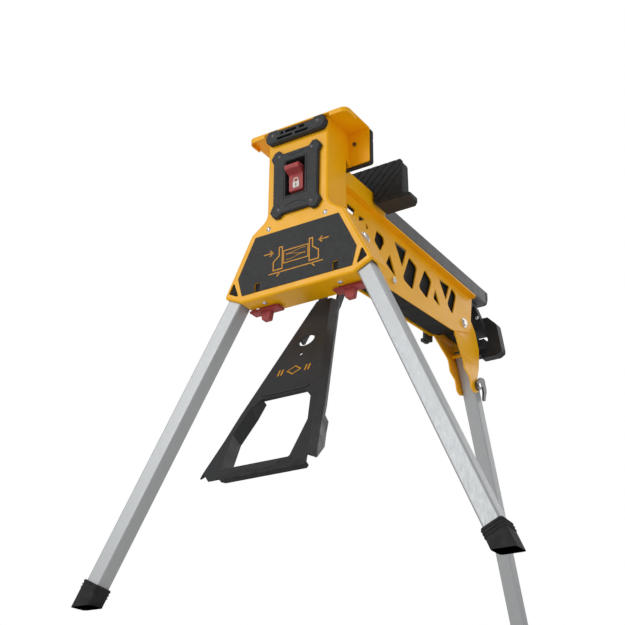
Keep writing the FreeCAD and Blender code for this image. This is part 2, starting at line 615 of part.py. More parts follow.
def pedal_plate():
    """Pressed steel plate: flat face, bevelled and flanged edges, large foot window."""
    w = PEDAL_TOP_W
    t0 = PEDAL_FACE_T
    right = [(x, w - s) for x, s, depth in PEDAL_STATIONS]
    face = prism_xz(right + [(-x, z) for x, z in reversed(right)], t0, t0 + PEDAL_SHEET)
    right_window = [(x, w - s) for x, s in WINDOW_EDGE]
    window = prism_xz(right_window + [(-x, z) for x, z in reversed(right_window)],
                      t0 - 1, t0 + 6, 4.0)
    strips = []
    for start, end in zip(PEDAL_STATIONS, PEDAL_STATIONS[1:]):
        strips.extend(both(edge_strip(start, end, 12.0)))
    for start, end in zip(WINDOW_RIM, WINDOW_RIM[1:]):
        strips.extend(both(rim_strip(start, end, 28.0)))
    top_rim = box(-50, 50, t0, t0 + 6.5, w - 270, w - 267)
    holes = [cylinder(V(0, t0 - 2, w - 121), V(0, t0 + 8, w - 121), 16.0),
             cylinder(V(0, t0 - 2, w - 160), V(0, t0 + 8, w - 160), 4.0)]
    plate = face.cut(window).fuse(strips + [top_rim])
    return at_pedal(plate.removeSplitter().cut(holes))


def loft_section(sections):
    wires = [Part.makePolygon(points + [points[0]]) for points in sections]
    return Part.makeLoft(wires, True, True)


def edge_section(x, s, bevel, depth):
    """Section of the bevel and the flange at one end of an edge strip."""
    t = PEDAL_FACE_T
    w = PEDAL_TOP_W - s
    k = PEDAL_SHEET
    return [V(x - 1, t, w), V(x, t, w), V(x + bevel, t + bevel * 0.8, w),
            V(x + bevel, t + bevel * 0.8 + depth, w), V(x + bevel - k, t + bevel * 0.8 + depth, w),
            V(x + bevel - k, t + bevel * 0.8 + 1.0, w), V(x - 1, t + k, w)]


def edge_strip(start, end, bevel):
    return loft_section([edge_section(x, s, bevel, depth) for x, s, depth in (start, end)])


def rim_strip(start, end, depth):
    """Flange along the inner side of the window, standing back from the face."""
    t = PEDAL_FACE_T
    k = PEDAL_SHEET
    sections = []
    for x, s in (start, end):
        w = PEDAL_TOP_W - s
        sections.append([V(x, t, w), V(x + k, t, w), V(x + k, t + depth, w), V(x, t + depth, w)])
    return loft_section(sections)


save("pedal_plate", pedal_plate())


def pedal_arms():
    """Two side arms that carry the plate on the pivot and reach up to the crank pin."""
    t0 = PEDAL_FACE_T + PEDAL_SHEET
    lean = math.radians(PEDAL_LEAN)
    crank = (-CRANK_HEIGHT * math.sin(lean), CRANK_HEIGHT * math.cos(lean))
    outline = [(t0 + 0.05, -200), (t0 + 16, -200), (t0 + 24, -90), (15, 6), (4, 22),
               (crank[0] + 11, crank[1] + 4), (crank[0] - 4, crank[1] + 11),
               (crank[0] - 12, crank[1] - 6), (-14, -6), (t0 + 8, -84), (t0 + 8, -92),
               (t0 + 0.05, -125)]
    arm = prism_yz(outline, 18.5, 22.5, [2, 4, 8, 8, 20, 4, 6, 6, 14, 4, 4, 4])
    arm = arm.cut([cylinder(V(0, 0, 0), V(40, 0, 0), 6.05),
                   cylinder(V(0, *crank), V(40, *crank), 5.0)])
    return [at_pedal(arm), at_pedal(mirrored(arm))]


save("pedal_arms", *pedal_arms())
crank_centre = PEDAL_PIVOT + V(0, 0, CRANK_HEIGHT)
save("pedal_crank_pin", cylinder(crank_centre - V(24.5, 0, 0), crank_centre + V(24.5, 0, 0), 5.0))


def pedal_tread():
    """Black tread bar along the foot of the pedal, with a stepped skin in front."""
    w = PEDAL_TOP_W
    t0 = PEDAL_FACE_T
    skin = [(-66, 460.2), (-46, 458.5), (-40, 453), (-1, 453), (7, 458), (46, 456), (54, 443),
            (70, 443), (109, 460.2)]
    bar = [(-66, 460.1), (110, 460.1), (108, 467), (-50, 467)]
    front = prism_xz([(x, w - s) for x, s in skin], t0 - 3, t0 - 0.05)
    return at_pedal(front.fuse(prism_xz([(x, w - s) for x, s in bar], t0 - 3, t0 + 7, 1.0)))


def pedal_lip():
    w = PEDAL_TOP_W
    t0 = PEDAL_FACE_T
    outline = [(-103, 440.05), (103, 440.05), (107, 460), (-86, 460)]
    return at_pedal(prism_xz([(x, w - s) for x, s in outline], t0, t0 + PEDAL_SHEET))


save("pedal_tread", pedal_tread())
save("pedal_lip", pedal_lip())
save("pedal_pivot_pin", cylinder(PEDAL_PIVOT - V(34, 0, 0), PEDAL_PIVOT + V(34, 0, 0), 6.0))


# ---------------------------------------------------------------- legs
def leg_axes(run, across):
    """Unit vectors along the leg, across it and normal to both."""
    down = V(run).normalize()
    side = V(across).normalize()
    return down, side, down.cross(side)


def square_bar(origin, down, side, normal, size, corner, start, end):
    half = size / 2
    wire = rounded_wire([(-half, -half), (half, -half), (half, half), (-half, half)], corner,
                        lambda p: origin + down * start + side * p.x + normal * p.y)
    return Part.Face(wire).extrude(down * (end - start))


def leg(origin, run, across, top, floor_gap):
    """Tube, top plug and foot of one leg. origin is the point of the centreline at its bolt."""
    down, side, normal = leg_axes(run, across)
    to_floor = (FLOOR_Z - origin.z) / down.z
    end = to_floor + 60
    tube = square_bar(origin, down, side, normal, LEG_SIZE, LEG_CORNER, -top + 3, end)
    bore = square_bar(origin, down, side, normal, LEG_SIZE - 2 * LEG_WALL, LEG_CORNER - LEG_WALL,
                      -top - 1, end + 1)
    plug = square_bar(origin, down, side, normal, LEG_SIZE - 2 * LEG_WALL - 0.4, 2.0,
                      -top + 3, 45.0)
    cap = square_bar(origin, down, side, normal, LEG_SIZE, LEG_CORNER, -top, -top + 3)
    boot = square_bar(origin, down, side, normal, LEG_SIZE + 7, 6.0, to_floor - BOOT_HEIGHT, end)
    boot = boot.cut(tube)
    slab = box(-2000, 2000, -2000, 2000, FLOOR_Z - 200, FLOOR_Z + floor_gap)
    ground = box(-2000, 2000, -2000, 2000, FLOOR_Z - 200, FLOOR_Z)
    boot = boot.fuse(square_bar(origin, down, side, normal, LEG_SIZE + 7, 6.0, to_floor - 18, end)
                     .common(slab.cut(ground)))
    return tube.cut(bore).cut(slab), plug.fuse(cap), boot.cut(ground)


FOOT_SOLE = 8.0
tube, plug, boot = leg(LEG_HINGE, LEG_RUN, HINGE_AXIS, 16.0, FOOT_SOLE)
bore = cylinder(LEG_HINGE - HINGE_AXIS * 40, LEG_HINGE + HINGE_AXIS * 40, BOLT_R + 0.05)
for kind, shape in (("tube", tube.cut(bore)), ("plug", plug.cut(bore)),
                    ("foot", boot.removeSplitter())):
    save("leg_" + kind + "_right", shape)
    save("leg_" + kind + "_left", mirrored(shape))

rear_behind = V(0, -REAR_RUN.z, REAR_RUN.y).normalize()
tube, plug, boot = leg(REAR_HINGE + rear_behind * REAR_OFFSET, REAR_RUN, V(1, 0, 0),
                       REAR_LEG_TOP, FOOT_SOLE)
bore = cylinder(REAR_HINGE - V(40, 0, 0), REAR_HINGE + V(40, 0, 0), BOLT_R + 0.05)
save("leg_tube_rear", tube.cut(bore))
save("leg_plug_rear", plug.cut(bore))
save("leg_foot_rear", boot.removeSplitter())


def leg_bracket():
    """Inner hinge plate of the right front leg and its web to the frame."""
    inner = LEG_HINGE - HINGE_AXIS * (LEG_SIZE / 2 + 1.0)
    down = V(LEG_RUN.x, 0, LEG_RUN.z).normalize()
    corners = []
    for along, y in ((-46, 5), (58, 5), (58, 40), (30, 60), (-46, 60)):
        corners.append(V(inner.x, y, inner.z) + down * along)
    plate = Part.Face(Part.makePolygon(corners + [corners[0]])).extrude(HINGE_AXIS * -3.0)
    plate = plate.cut(cylinder(LEG_HINGE - HINGE_AXIS * 60, LEG_HINGE, BOLT_R + 0.05))
    web = prism_xz([(FRAME_OUTER, 642), (66, 630), (86, 588), (FRAME_OUTER, 588)], 56, 59)
    return plate.fuse(web).removeSplitter()


right_bracket = leg_bracket()
save("leg_bracket_right", right_bracket)
save("leg_bracket_left", mirrored(right_bracket))
SKIRT_OUTSIDE = 22.45       # from the leg's centreline to the outer face of the skirt
right_bolt = bolt(LEG_HINGE + HINGE_AXIS * SKIRT_OUTSIDE, HINGE_AXIS, SKIRT_OUTSIDE + 26,
                  BOLT_R, 8.5, 4.5)
save("leg_bolts", right_bolt, mirrored(right_bolt))


# ---------------------------------------------------------------- rear fork, stop, latch
def rear_fork():
    """Right fork plate: flat inside the frame, bent inward to lie beside the leg."""
    outline = [(598, 690), (614, 650), (640, 628), (666, 608), (672, 584), (697, 571), (704, 546),
               (718, 540), (738, 546), (743, 562), (736, 577), (749, 612), (744, 634), (722, 690),
               (700, 712), (640, 712)]
    outer = FRAME_INNER - 0.02
    section = [(outer, 720), (outer, 652), (FORK_HALF, 614), (FORK_HALF, 530),
               (FORK_HALF - PLATE, 530), (FORK_HALF - PLATE, 614), (outer - PLATE, 652),
               (outer - PLATE, 720)]
    plate = prism_yz(outline, 0, 40, [10, 14, 14, 10, 8, 8, 8, 8, 8, 8, 12, 12, 30, 14, 12, 12])
    plate = plate.common(prism_xz(section, 590, 760, [0, 12, 12, 0, 0, 9, 9, 0]))
    return plate.cut([cylinder(V(10, REAR_HINGE.y, REAR_HINGE.z), V(30, REAR_HINGE.y, REAR_HINGE.z),
                               BOLT_R + 0.05),
                      cylinder(V(20, *FRAME_BOLTS[0]), V(30, *FRAME_BOLTS[0]), 7.55)])


right_fork = rear_fork()
save("rear_bracket_right", right_fork)
save("rear_bracket_left", mirrored(right_fork))
stop_bar = cylinder(V(-23, 689, 625), V(23, 689, 625), 4.5).cut(both(right_fork))
save("leg_stop_bar", sorted(stop_bar.Solids, key=lambda solid: solid.Volume)[-1])
rear_bolt_head = V(-FORK_HALF, REAR_HINGE.y, REAR_HINGE.z)
save("rear_leg_bolt", bolt(rear_bolt_head, V(-1, 0, 0), 2 * FORK_HALF + 9, BOLT_R, 8.5, 4.5))


def rear_latch():
    """Curved release lever on the end of the rear leg's bolt."""
    y, z = REAR_HINGE.y, REAR_HINGE.z
    inner = FORK_HALF + 0.4
    hub = cylinder(V(inner, y, z), V(inner + 6.5, y, z), 11.0)
    outline = [(y - 8, z + 6), (y + 12, z + 24), (y + 34, z + 28), (y + 43, z), (y + 33, z - 28),
               (y + 23, z - 29), (y + 27, z - 8), (y + 22, z + 7), (y + 6, z - 9)]
    arm = prism_yz(outline, inner + 1, inner + 5.5, [3, 8, 8, 12, 3, 3, 8, 5, 3])
    lever = hub.fuse(arm).removeSplitter()
    return lever.cut(cylinder(V(10, y, z), V(40, y, z), BOLT_R + 0.06))


save("rear_latch", rear_latch())


# ---------------------------------------------------------------- release levers
def leg_release():
    bar = prism_xz([(60, 499), (126, 499), (126, 504.5), (60, 504.5)], 34, 54, 2.0)
    tab = prism_xz([(84, 481), (100, 481), (104, 503), (80, 503)], 38, 50, 3.0)
    neck = box(76, 106, 37.5, 50.5, 504, 514)
    keeper = box(72, 110, 34, 54, 510.1, 514)
    return fused([bar, tab, neck, keeper])


right_release = leg_release()
save("leg_release_right", right_release)
save("leg_release_left", mirrored(right_release))


# ---------------------------------------------------------------- rear handle, clip
HANDLE_SCREW = (20.0, 752.0, 742.0)


def rear_handle():
    """Moulded carry handle behind the frame, with two horns beside the beam's keel."""
    horns = [(34, 664), (34, 722), (24, 748), (14, 776)]
    cradle = prism_xz(horns + [(-x, z) for x, z in reversed(horns)], 752, 774,
                      [4, 10, 14, 3, 3, 14, 10, 4])
    loop = [(56, 645), (68, 652), (69, 660), (60, 724), (38, 747)]
    body = prism_xz(loop + [(-x, z) for x, z in reversed(loop)], 772, 800,
                    [5, 5, 8, 12, 6, 6, 12, 8, 5, 5])
    rims = [edge for edge in body.Edges if abs(edge.BoundBox.YMin - 800) < 1e-6]
    body = body.makeFillet(5.0, rims)
    window = prism_xz([(-38, 684), (38, 684), (29, 709), (-29, 709)], 700, 810, 5.0)
    groove = box(-9.8, 9.8, 740, 810, BEAM_BOTTOM_Z - KEEL_DEPTH - 2.5, 800)
    y, z = FRAME_BOLTS[0]
    arms = box(-23.5, 23.5, y - 11, 754, 672, 699)
    arms = arms.cut([box(-18, 18, y - 20, 752, 660, 720),
                     cylinder(V(-30, y, z), V(30, y, z), BOLT_R + 0.05)])
    holes = both(cylinder(V(*HANDLE_SCREW), V(HANDLE_SCREW[0], 790, HANDLE_SCREW[2]), 2.4))
    holes.append(prism_xz([(-17, 630), (17, 630), (17, 656), (-17, 656)], 740, 810, 4.0))
    return fused([cradle, body, arms]).cut([window, groove] + holes)


save("rear_handle", rear_handle())
handle_screw = pan_screw(V(*HANDLE_SCREW), V(0, -1, 0), 4.6, 2.4, 10.0)
save("handle_screws", *both(handle_screw))


def storage_clip():
    clip = prism_yz([(575, 634), (612, 636), (614, 655), (578, 655)], -36, -30.05, 4.0)
    hook = prism_yz([(580, 630), (606, 632), (606, 640), (580, 638)], -44, -36, 2.0)
    return clip.fuse(hook).removeSplitter()


save("storage_clip", storage_clip())

# ---------------------------------------------------------------- output
everything = Part.makeCompound(list(NODES.values()))
bounds = everything.BoundBox
shift = V(0, -(bounds.YMin + bounds.YMax) / 2, -FLOOR_Z)
print("bounds", bounds, "shift", round(shift.y, 4))
for node, shape in NODES.items():
    placed = shape.copy()
    placed.translate(shift)
    if not placed.isValid():
        print("not valid:", node)
    placed.exportStep("parts/" + node + ".step")
print(len(NODES), "nodes")
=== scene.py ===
"""Looks of the clamping work support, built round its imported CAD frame."""
import json
import math

import bmesh
import bpy
from mathutils import Matrix, Vector


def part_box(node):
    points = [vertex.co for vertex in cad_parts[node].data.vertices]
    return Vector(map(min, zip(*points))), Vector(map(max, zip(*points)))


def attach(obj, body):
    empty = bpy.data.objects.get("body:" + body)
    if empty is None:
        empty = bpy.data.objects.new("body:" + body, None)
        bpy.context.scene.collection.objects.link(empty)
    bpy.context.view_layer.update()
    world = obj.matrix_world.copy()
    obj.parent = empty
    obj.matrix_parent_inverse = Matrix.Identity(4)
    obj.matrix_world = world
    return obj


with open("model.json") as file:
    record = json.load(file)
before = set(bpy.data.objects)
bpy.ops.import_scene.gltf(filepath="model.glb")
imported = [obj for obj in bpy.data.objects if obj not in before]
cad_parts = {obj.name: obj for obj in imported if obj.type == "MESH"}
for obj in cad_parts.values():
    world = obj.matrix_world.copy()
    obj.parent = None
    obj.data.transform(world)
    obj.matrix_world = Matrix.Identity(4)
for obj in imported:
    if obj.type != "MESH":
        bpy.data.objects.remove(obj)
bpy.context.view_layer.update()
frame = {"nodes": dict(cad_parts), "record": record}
MM = 0.001
EDGE_ANGLE = math.radians(40)                # sharper corners than this are softened
CAD_EDGE = 0.6                               # mm, softening of the CAD nodes' edges

FRONT_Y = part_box("front_housing")[0][1]      # front face of the housing
JOINTS = {joint["name"]: joint for joint in frame["record"]["behaviour"]["joints"]}


# ---------------------------------------------------------------- materials
def new_material(name, colour, roughness, metallic=0.0, specular=0.3):
    """Node material with a principled shader; returns the material and the shader node."""
    material = bpy.data.materials.new(name)
    material.use_nodes = True
    shader = material.node_tree.nodes["Principled BSDF"]
    shader.inputs["Base Color"].default_value = (*colour, 1.0)
    shader.inputs["Roughness"].default_value = roughness
    shader.inputs["Metallic"].default_value = metallic
    shader.inputs["Specular IOR Level"].default_value = specular
    return material, shader


def noise(tree, scale, detail=3.0, stretch=None):
    """Noise texture in the object's own space, stretched along an axis when asked."""
    nodes, links = tree.nodes, tree.links
    place = nodes.new("ShaderNodeTexCoord")
    texture = nodes.new("ShaderNodeTexNoise")
    texture.inputs["Scale"].default_value = scale
    texture.inputs["Detail"].default_value = detail
    if stretch is None:
        links.new(place.outputs["Object"], texture.inputs["Vector"])
    else:
        mapping = nodes.new("ShaderNodeMapping")
        mapping.inputs["Scale"].default_value = stretch
        links.new(place.outputs["Object"], mapping.inputs["Vector"])
        links.new(mapping.outputs["Vector"], texture.inputs["Vector"])
    return texture.outputs["Fac"]


def ramp(tree, factor, low, high, start=0.3, end=0.7):
    """Colour ramp from low to high over the factor's useful range."""
    node = tree.nodes.new("ShaderNodeValToRGB")
    node.color_ramp.elements[0].position = start
    node.color_ramp.elements[1].position = end
    node.color_ramp.elements[0].color = (*low, 1.0)
    node.color_ramp.elements[1].color = (*high, 1.0)
    tree.links.new(factor, node.inputs["Fac"])
    return node.outputs["Color"]


def map_range(tree, factor, low, high, start=0.3, end=0.7):
    """Value from low to high over the factor's useful range."""
    node = tree.nodes.new("ShaderNodeMapRange")
    node.inputs["From Min"].default_value = start
    node.inputs["From Max"].default_value = end
    node.inputs["To Min"].default_value = low
    node.inputs["To Max"].default_value = high
    tree.links.new(factor, node.inputs["Value"])
    return node.outputs["Result"]


def add_bump(tree, shader, height, strength, distance):
    """Bump from a height, on top of any bump the shader has already."""
    bump = tree.nodes.new("ShaderNodeBump")
    bump.inputs["Strength"].default_value = strength
    bump.inputs["Distance"].default_value = distance
    tree.links.new(height, bump.inputs["Height"])
    before = shader.inputs["Normal"].links
    if before:
        tree.links.new(before[0].from_socket, bump.inputs["Normal"])
    tree.links.new(bump.outputs["Normal"], shader.inputs["Normal"])


def shade(colour, factor):
    """Colour made darker or lighter by a factor."""
    return tuple(channel * factor for channel in colour)


def powder_coat(name, colour, roughness=0.34, variation=0.05, peel=0.12):
    """Baked powder paint: slight colour drift, orange peel and a few dull patches."""
    material, shader = new_material(name, colour, roughness)
    tree = material.node_tree
    drift = ramp(tree, noise(tree, 9.0), shade(colour, 1 - variation), shade(colour, 1 + variation))
    tree.links.new(drift, shader.inputs["Base Color"])
    dull = map_range(tree, noise(tree, 35.0, 5.0), roughness - 0.05, roughness + 0.09)
    tree.links.new(dull, shader.inputs["Roughness"])
    add_bump(tree, shader, noise(tree, 620.0, 2.0), peel, 0.0004)
    return material


def moulded_plastic(name, colour, roughness=0.55, grain=0.35):
    """Moulded plastic with a fine spark-eroded grain."""
    material, shader = new_material(name, colour, roughness)
    tree = material.node_tree
    drift = ramp(tree, noise(tree, 60.0, 4.0), shade(colour, 0.88), shade(colour, 1.18))
    tree.links.new(drift, shader.inputs["Base Color"])
    scuff = map_range(tree, noise(tree, 240.0, 4.0), roughness - 0.08, roughness + 0.1)
    tree.links.new(scuff, shader.inputs["Roughness"])
    add_bump(tree, shader, noise(tree, 2600.0, 2.0), grain, 0.00012)
    add_bump(tree, shader, noise(tree, 900.0, 3.0), grain * 0.5, 0.0002)
    return material


def rubber(name, colour):
    """Matt rubber, a little dusty."""
    material, shader = new_material(name, colour, 0.78)
    tree = material.node_tree
    dust = ramp(tree, noise(tree, 90.0, 6.0), shade(colour, 0.85), shade(colour, 1.5), 0.35, 0.75)
    tree.links.new(dust, shader.inputs["Base Color"])
    add_bump(tree, shader, noise(tree, 1800.0, 3.0), 0.35, 0.00025)
    return material


def metal(name, colour, roughness, stretch=(1.0, 1.0, 1.0), streak=0.18, metallic=1.0):
    """Bare or plated metal with fine drawing lines along one direction."""
    material, shader = new_material(name, colour, roughness, metallic)
    tree = material.node_tree
    lines = noise(tree, 700.0, 4.0, stretch)
    tree.links.new(ramp(tree, lines, shade(colour, 0.93), shade(colour, 1.05)),
                   shader.inputs["Base Color"])
    tree.links.new(map_range(tree, lines, roughness - 0.06, roughness + 0.08),
                   shader.inputs["Roughness"])
    add_bump(tree, shader, lines, streak, 0.00012)
    return material


YELLOW = (0.94, 0.45, 0.0)
MATERIALS = {
    "yellow_paint": powder_coat("yellow_powder_coat", YELLOW),
    "black_paint": powder_coat("black_powder_coat", (0.022, 0.023, 0.025), 0.42, 0.12),
    "grey_beam": powder_coat("grey_powder_coat", (0.115, 0.116, 0.12), 0.45, 0.08),
    # Painted shade: the inner parts take a near-black finish, darker than the black paint, so the
    # inside of the frame and housing reads as shadowed; the inner channel and liner are also dark
    # parts in their own right.
    "inner_black": powder_coat("dull_black_and_painted_shade", (0.006, 0.006, 0.006), 0.7, 0.1),
    "black_plastic": moulded_plastic("black_moulding", (0.026, 0.027, 0.029)),
    "red_plastic": moulded_plastic("red_moulding", (0.37, 0.055, 0.055), 0.5),
    "label_film": moulded_plastic("label_film", (0.026, 0.027, 0.028), 0.6, 0.08),
    "rubber": rubber("black_rubber", (0.022, 0.022, 0.023)),
    "leg_aluminium": metal("drawn_aluminium", (0.47, 0.485, 0.495), 0.5,
                           stretch=(1.0, 1.0, 0.02), streak=0.1, metallic=0.6),
    "zinc_steel": metal("zinc_plate", (0.72, 0.72, 0.73), 0.3),
    "dark_steel": metal("dark_steel", (0.16, 0.16, 0.17), 0.42),
}
AMBER_INK = moulded_plastic("amber_ink", (0.62, 0.27, 0.01), 0.5, 0.05)
WHITE_INK = moulded_plastic("white_ink", (0.72, 0.72, 0.66), 0.5, 0.05)


def soften(piece, width):
    """Rounds a piece's sharp edges by a width in mm."""
    bevel = piece.modifiers.new("soft_edges", "BEVEL")
    bevel.width = width * MM
    bevel.segments = 2
    bevel.limit_method = "ANGLE"
    bevel.angle_limit = EDGE_ANGLE


def dress_cad_nodes():
    """Gives every CAD node its finish and softens its edges."""
    slots = {row["node"]: row["material_slot"] for row in frame["record"]["subparts"]}
    for name, node in frame["nodes"].items():
        node.data.materials.clear()
        node.data.materials.append(MATERIALS[slots[name]])
        soften(node, CAD_EDGE)


# ---------------------------------------------------------------- mesh helpers
def new_piece(name, verts, faces, slot, body, material=None, bevel=0.0, smooth=False):
    """Closed mesh that rides on a body and takes a slot's finish unless given its own."""
    mesh = bpy.data.meshes.new(name)
    mesh.from_pydata([tuple(vert) for vert in verts], [], faces)
    form = bmesh.new()
    form.from_mesh(mesh)
    bmesh.ops.remove_doubles(form, verts=form.verts, dist=1e-7)
    bmesh.ops.recalc_face_normals(form, faces=form.faces)
    form.to_mesh(mesh)
    form.free()
    mesh.materials.append(material or MATERIALS[slot])
    for face in mesh.polygons:
        face.use_smooth = smooth
    piece = bpy.data.objects.new(name, mesh)
    bpy.context.scene.collection.objects.link(piece)
    if bevel:
        soften(piece, bevel)
    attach(piece, body)


def slab(outline, depth):
    """Vertices and faces of a flat outline of points carried along a depth vector."""
    count = len(outline)
    verts = list(outline) + [point + depth for point in outline]
    faces = [tuple(range(count)), tuple(range(count, 2 * count))]
    for index in range(count):
        following = (index + 1) % count
        faces.append((index, following, count + following, count + index))
    return verts, faces


def joined(parts):
    """One vertex and face list from several."""
    verts, faces = [], []
    for more_verts, more_faces in parts:
        start = len(verts)
        verts.extend(more_verts)
        faces.extend(tuple(start + index for index in face) for face in more_faces)
    return verts, faces


def stroke(points, width, place, depth, closed=False):
    """Band of even width along a line in the plane, mitred at its corners."""
    line = [Vector(point) for point in points]
    count = len(line)
    left, right = [], []
    for index, here in enumerate(line):
        before = line[index - 1] if index or closed else here
        after = line[(index + 1) % count] if index < count - 1 or closed else here
        into = (here - before).normalized() if before != here else (after - here).normalized()
        out = (after - here).normalized() if after != here else into
        along = (into + out).normalized()
        reach = width / 2 / max(0.4, along.dot(into))
        across = Vector((-along.y, along.x)) * reach
        left.append(place(here + across))
        right.append(place(here - across))
    verts = left + right + [point + depth for point in left + right]
    low, top = count, 2 * count
    faces = []
    for index in range(count if closed else count - 1):
        after = (index + 1) % count
        faces.append((index, after, low + after, low + index))
        faces.append((top + index, top + after, top + low + after, top + low + index))
        faces.append((index, after, top + after, top + index))
        faces.append((low + index, low + after, top + low + after, top + low + index))
    if not closed:
        for end in (0, count - 1):
            faces.append((end, low + end, top + low + end, top + end))
    return verts, faces


def turned(centre, axis, profile, segments=28):
    """Closed ring profile of (radius, height) in mm, turned about an axis."""
    axis = Vector(axis).normalized()
    side = axis.orthogonal().normalized()
    other = axis.cross(side)
    verts, faces = [], []
    count = len(profile)
    for step in range(segments):
        angle = 2 * math.pi * step / segments
        spoke = side * math.cos(angle) + other * math.sin(angle)
        for radius, height in profile:
            verts.append(centre + spoke * radius * MM + axis * height * MM)
    for step in range(segments):
        here, there = step * count, (step + 1) % segments * count
        for index in range(count):
            after = (index + 1) % count
            faces.append((here + index, here + after, there + after, there + index))
    return verts, faces


def tube_along(path, radius_of, sides=8):
    """Round bar along a path of points in metres; its radius in mm follows its length."""
    verts, faces = [], []
    steps = len(path)
    guide = (path[1] - path[0]).orthogonal().normalized()
    for index, here in enumerate(path):
        ahead = path[min(index + 1, steps - 1)] - path[max(index - 1, 0)]
        ahead.normalize()
        guide = (guide - ahead * guide.dot(ahead)).normalized()
        other = ahead.cross(guide)
        radius = radius_of(index / (steps - 1)) * MM
        for side in range(sides):
            angle = 2 * math.pi * side / sides
            verts.append(here + (guide * math.cos(angle) + other * math.sin(angle)) * radius)
    for index in range(steps - 1):
        for side in range(sides):
            after = (side + 1) % sides
            base = index * sides
            faces.append((base + side, base + after, base + sides + after, base + sides + side))
    faces.append(tuple(range(sides)))
    faces.append(tuple(range((steps - 1) * sides, steps * sides)))
    return verts, faces


def weld_bead(start, end, radius=1.6, pitch=2.2):
    """Rippled bead of weld between two points; radius and pitch in mm."""
    ripples = max(6, int((end - start).length / MM / pitch))
    path = [start.lerp(end, step / (2 * ripples)) for step in range(2 * ripples + 1)]
    return tube_along(path, lambda t: radius * (1.0 + 0.16 * math.cos(2 * math.pi * ripples * t)))


def arc_points(centre, radius, start, end, steps):
    """Points in a plane round a centre, angles in degrees."""
    points = []
    for step in range(steps + 1):
        angle = math.radians(start + (end - start) * step / steps)
        points.append((centre[0] + radius * math.cos(angle), centre[1] + radius * math.sin(angle)))
    return points


# ---------------------------------------------------------------- details on the bodies
PEDAL_LEAN = 28.8           # degrees from the vertical
PEDAL_FACE = -8.8           # mm behind the pivot, so the face lies in front of it
PEDAL_TOP = 91.0            # mm from the pivot down to the top of the face
REAR_OFFSET = 8.4           # mm from the rear leg's bolt back to its centreline
SKIRT_OUTSIDE = 22.45       # mm from a front leg's centreline to the skirt's outer face
LEG_RUNS = {                # direction down each leg
    "right": Vector((0.4754, -0.1164, -1.0)),
    "left": Vector((-0.4754, -0.1164, -1.0)),
    "rear": Vector((0.0, 0.3914, -1.0)),
}


def label_pictogram():
    """Generic line drawing of a board held between two jaws."""
    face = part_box("front_label")[0][1]
    middle = (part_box("front_label")[0][2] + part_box("front_label")[1][2]) / 2
    depth = Vector((0, -0.25 * MM, 0))

    def place(point):
        return Vector((point[0] * MM, face + 0.05 * MM, middle + point[1] * MM))

    strokes = [stroke([(-27, -14), (27, -14), (27, 12), (-27, 12)], 2.0, place, depth, True)]
    for height, bend in ((-6, 2.5), (0, -2.5), (6, 2.0)):
        grain = [(x, height + bend * math.sin(x / 9.0)) for x in range(-22, 23, 4)]
        strokes.append(stroke(grain, 0.9, place, depth))
    for side in (-1, 1):
        jaw = [(30, 22), (37, 22), (37, 4), (50, -6), (50, -24), (30, -24)]
        arrow_shaft = [(72, 14), (52, 14)]
        arrow_head = [(58, 20), (51, 14), (58, 8)]
        for line, width, closed in ((jaw, 2.4, True), (arrow_shaft, 2.2, False),
                                    (arrow_head, 2.2, False)):
            mirrored = [(side * x, z) for x, z in line]
            strokes.append(stroke(mirrored, width, place, depth, closed))
    strokes.append(stroke([(-60, -30), (60, -30)], 2.2, place, depth))
    for side in (-1, 1):
        strokes.append(stroke([(side * 34, -30), (side * 42, -38)], 2.2, place, depth))
    new_piece("label_pictogram", *joined(strokes), "yellow_paint", "frame", AMBER_INK)


def lever_padlock():
    """White padlock sign on the front of the locking lever."""
    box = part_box("lock_lever")
    face = box[1][1] - 18.0 * MM             # the paddle is 18 mm deep at its foot
    low = box[0][2]
    slant = Vector((0, -1.0, 35.0)).normalized()
    depth = Vector((0, -0.35 * MM, 0))

    def place(point):
        return Vector((point[0] * MM, face, low + 2 * MM)) + slant * point[1] * MM

    body = [place(point) for point in ((-7, 6), (7, 6), (7, 18), (-7, 18))]
    shackle = [(-4.6, 18)] + arc_points((0, 22), 4.6, 180, 0, 10) + [(4.6, 18)]
    parts = [slab(body, depth), stroke(shackle, 1.8, place, depth)]
    new_piece("lever_padlock", *joined(parts), "red_plastic", "lock_lever", WHITE_INK, 0.1)
    keyhole = arc_points((0, 13), 1.5, -60, 240, 10) + [(-1.1, 8.5), (1.1, 8.5)]
    outline = [place(point) + depth * 0.9 for point in keyhole]
    new_piece("padlock_keyhole", *slab(outline, depth * 0.4), "black_plastic", "lock_lever")


def bezel_ridges():
    """Raised rim round the bezel's window and a shallow arch above and below it."""
    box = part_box("lock_bezel")
    face = box[0][1]
    middle = (box[0][2] + box[1][2]) / 2
    depth = Vector((0, -0.9 * MM, 0))

    def place(point):
        return Vector((point[0] * MM, face + 0.1 * MM, middle + point[1] * MM))

    rim = [(-26, -36), (26, -36), (26, 46), (-26, 46)]
    parts = [stroke(rim, 1.6, place, depth, True)]
    parts.append(stroke(arc_points((0, -96), 46, 60, 120, 16), 1.6, place, depth))
    parts.append(stroke(arc_points((0, 106), 50, -112, -68, 16), 1.6, place, depth))
    new_piece("bezel_ridges", *joined(parts), "black_plastic", "frame", bevel=0.3)


def ring_stroke(centre, across, normal, along, half, corner, width, height):
    """Raised band round a square bar: its plane is across and normal, its height runs along."""
    def place(point):
        return centre + across * point[0] * MM + normal * point[1] * MM

    inset = half - corner
    line = []
    for index, (x, y) in enumerate(((inset, inset), (-inset, inset), (-inset, -inset),
                                    (inset, -inset))):
        line.extend(arc_points((x, y), corner, 90 * index, 90 * index + 90, 4))
    return stroke(line, width, place, along * height * MM, True)


